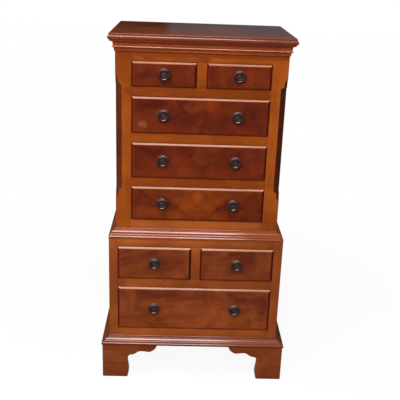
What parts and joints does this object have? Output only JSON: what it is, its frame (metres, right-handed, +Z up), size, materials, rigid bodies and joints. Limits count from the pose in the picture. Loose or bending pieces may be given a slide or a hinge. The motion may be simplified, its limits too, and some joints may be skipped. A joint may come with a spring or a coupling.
{
  "type": "tallboy",
  "caption": "Chest on chest with small and long drawers that slide, swinging ring pulls, canted fluted upper corners, moulded cornice, waist and base, and scrolled bracket feet.",
  "frame": {"origin": "on the floor under the middle of the bounding box", "axes": "+Z up, the drawers face -Y and pull out along -Y, +X to the right seen from the front"},
  "size_m": [0.5928, 0.4153, 1.1065],
  "materials": {
    "frame_wood": "polished orange-brown mahogany",
    "moulding_wood": "polished red-brown moulding",
    "top_veneer": "glossy dark veneer",
    "front_veneer": "glossy burr veneer",
    "foot_wood": "polished brown wood",
    "drawer_lining": "plain sanded softwood",
    "back_board": "plain unpolished board",
    "bronze": "dark antique bronze"
  },
  "bodies": {
    "case": {"top_board": "top_veneer", "cornice_moulding": "moulding_wood", "upper_left_side": "frame_wood", "upper_right_side": "frame_wood", "upper_top_rail": "frame_wood", "upper_divider_1": "frame_wood", "upper_divider_2": "frame_wood", "upper_divider_3": "frame_wood", "upper_bottom_board": "frame_wood", "waist_moulding": "moulding_wood", "lower_left_side": "frame_wood", "lower_right_side": "frame_wood", "lower_top_board": "frame_wood", "lower_divider": "frame_wood", "base_board": "moulding_wood", "back_panel": "back_board", "front_left_foot": "foot_wood", "front_right_foot": "foot_wood", "rear_left_foot": "foot_wood", "rear_right_foot": "foot_wood"},
    "top_left_pull_ring_body": {"top_left_pull_ring": "bronze"},
    "top_left_drawer": {"top_left_drawer_front": "front_veneer", "top_left_drawer_box": "drawer_lining", "top_left_pull_plate": "bronze"},
    "top_right_pull_ring_body": {"top_right_pull_ring": "bronze"},
    "top_right_drawer": {"top_right_drawer_front": "front_veneer", "top_right_drawer_box": "drawer_lining", "top_right_pull_plate": "bronze"},
    "second_left_pull_ring_body": {"second_left_pull_ring": "bronze"},
    "second_right_pull_ring_body": {"second_right_pull_ring": "bronze"},
    "second_drawer": {"second_drawer_front": "front_veneer", "second_drawer_box": "drawer_lining", "second_left_pull_plate": "bronze", "second_right_pull_plate": "bronze"},
    "third_left_pull_ring_body": {"third_left_pull_ring": "bronze"},
    "third_right_pull_ring_body": {"third_right_pull_ring": "bronze"},
    "third_drawer": {"third_drawer_front": "front_veneer", "third_drawer_box": "drawer_lining", "third_left_pull_plate": "bronze", "third_right_pull_plate": "bronze"},
    "fourth_left_pull_ring_body": {"fourth_left_pull_ring": "bronze"},
    "fourth_right_pull_ring_body": {"fourth_right_pull_ring": "bronze"},
    "fourth_drawer": {"fourth_drawer_front": "front_veneer", "fourth_drawer_box": "drawer_lining", "fourth_left_pull_plate": "bronze", "fourth_right_pull_plate": "bronze"},
    "lower_left_pull_ring_body": {"lower_left_pull_ring": "bronze"},
    "lower_left_drawer": {"lower_left_drawer_front": "front_veneer", "lower_left_drawer_box": "drawer_lining", "lower_left_pull_plate": "bronze"},
    "lower_right_pull_ring_body": {"lower_right_pull_ring": "bronze"},
    "lower_right_drawer": {"lower_right_drawer_front": "front_veneer", "lower_right_drawer_box": "drawer_lining", "lower_right_pull_plate": "bronze"},
    "bottom_left_pull_ring_body": {"bottom_left_pull_ring": "bronze"},
    "bottom_right_pull_ring_body": {"bottom_right_pull_ring": "bronze"},
    "bottom_drawer": {"bottom_drawer_front": "front_veneer", "bottom_drawer_box": "drawer_lining", "bottom_left_pull_plate": "bronze", "bottom_right_pull_plate": "bronze"}
  },
  "joints": [
    {"name": "top_left_slide", "type": "slide", "parent": "case", "child": "top_left_drawer", "axis": [0, -1, 0], "range_m": [0, 0.25]},
    {"name": "top_left_pull_swing", "type": "hinge", "parent": "top_left_drawer", "child": "top_left_pull_ring_body", "pos_m": [-0.10915, -0.17295, 1.0061], "axis": [-1, 0, 0], "range_deg": [0, 150]},
    {"name": "top_right_slide", "type": "slide", "parent": "case", "child": "top_right_drawer", "axis": [0, -1, 0], "range_m": [0, 0.25]},
    {"name": "top_right_pull_swing", "type": "hinge", "parent": "top_right_drawer", "child": "top_right_pull_ring_body", "pos_m": [0.10915, -0.17295, 1.0061], "axis": [-1, 0, 0], "range_deg": [0, 150]},
    {"name": "second_slide", "type": "slide", "parent": "case", "child": "second_drawer", "axis": [0, -1, 0], "range_m": [0, 0.25]},
    {"name": "second_left_pull_swing", "type": "hinge", "parent": "second_drawer", "child": "second_left_pull_ring_body", "pos_m": [-0.10915, -0.17295, 0.88585], "axis": [-1, 0, 0], "range_deg": [0, 150]},
    {"name": "second_right_pull_swing", "type": "hinge", "parent": "second_drawer", "child": "second_right_pull_ring_body", "pos_m": [0.10915, -0.17295, 0.88585], "axis": [-1, 0, 0], "range_deg": [0, 150]},
    {"name": "third_slide", "type": "slide", "parent": "case", "child": "third_drawer", "axis": [0, -1, 0], "range_m": [0, 0.25]},
    {"name": "third_left_pull_swing", "type": "hinge", "parent": "third_drawer", "child": "third_left_pull_ring_body", "pos_m": [-0.10915, -0.17295, 0.7471], "axis": [-1, 0, 0], "range_deg": [0, 150]},
    {"name": "third_right_pull_swing", "type": "hinge", "parent": "third_drawer", "child": "third_right_pull_ring_body", "pos_m": [0.10915, -0.17295, 0.7471], "axis": [-1, 0, 0], "range_deg": [0, 150]},
    {"name": "fourth_slide", "type": "slide", "parent": "case", "child": "fourth_drawer", "axis": [0, -1, 0], "range_m": [0, 0.25]},
    {"name": "fourth_left_pull_swing", "type": "hinge", "parent": "fourth_drawer", "child": "fourth_left_pull_ring_body", "pos_m": [-0.10915, -0.17295, 0.6101], "axis": [-1, 0, 0], "range_deg": [0, 150]},
    {"name": "fourth_right_pull_swing", "type": "hinge", "parent": "fourth_drawer", "child": "fourth_right_pull_ring_body", "pos_m": [0.10915, -0.17295, 0.6101], "axis": [-1, 0, 0], "range_deg": [0, 150]},
    {"name": "lower_left_slide", "type": "slide", "parent": "case", "child": "lower_left_drawer", "axis": [0, -1, 0], "range_m": [0, 0.27]},
    {"name": "lower_left_pull_swing", "type": "hinge", "parent": "lower_left_drawer", "child": "lower_left_pull_ring_body", "pos_m": [-0.1294, -0.19395, 0.4176], "axis": [-1, 0, 0], "range_deg": [0, 150]},
    {"name": "lower_right_slide", "type": "slide", "parent": "case", "child": "lower_right_drawer", "axis": [0, -1, 0], "range_m": [0, 0.27]},
    {"name": "lower_right_pull_swing", "type": "hinge", "parent": "lower_right_drawer", "child": "lower_right_pull_ring_body", "pos_m": [0.1294, -0.19395, 0.4176], "axis": [-1, 0, 0], "range_deg": [0, 150]},
    {"name": "bottom_slide", "type": "slide", "parent": "case", "child": "bottom_drawer", "axis": [0, -1, 0], "range_m": [0, 0.27]},
    {"name": "bottom_left_pull_swing", "type": "hinge", "parent": "bottom_drawer", "child": "bottom_left_pull_ring_body", "pos_m": [-0.1294, -0.19395, 0.2596], "axis": [-1, 0, 0], "range_deg": [0, 150]},
    {"name": "bottom_right_pull_swing", "type": "hinge", "parent": "bottom_drawer", "child": "bottom_right_pull_ring_body", "pos_m": [0.1294, -0.19395, 0.2596], "axis": [-1, 0, 0], "range_deg": [0, 150]}
  ]
}
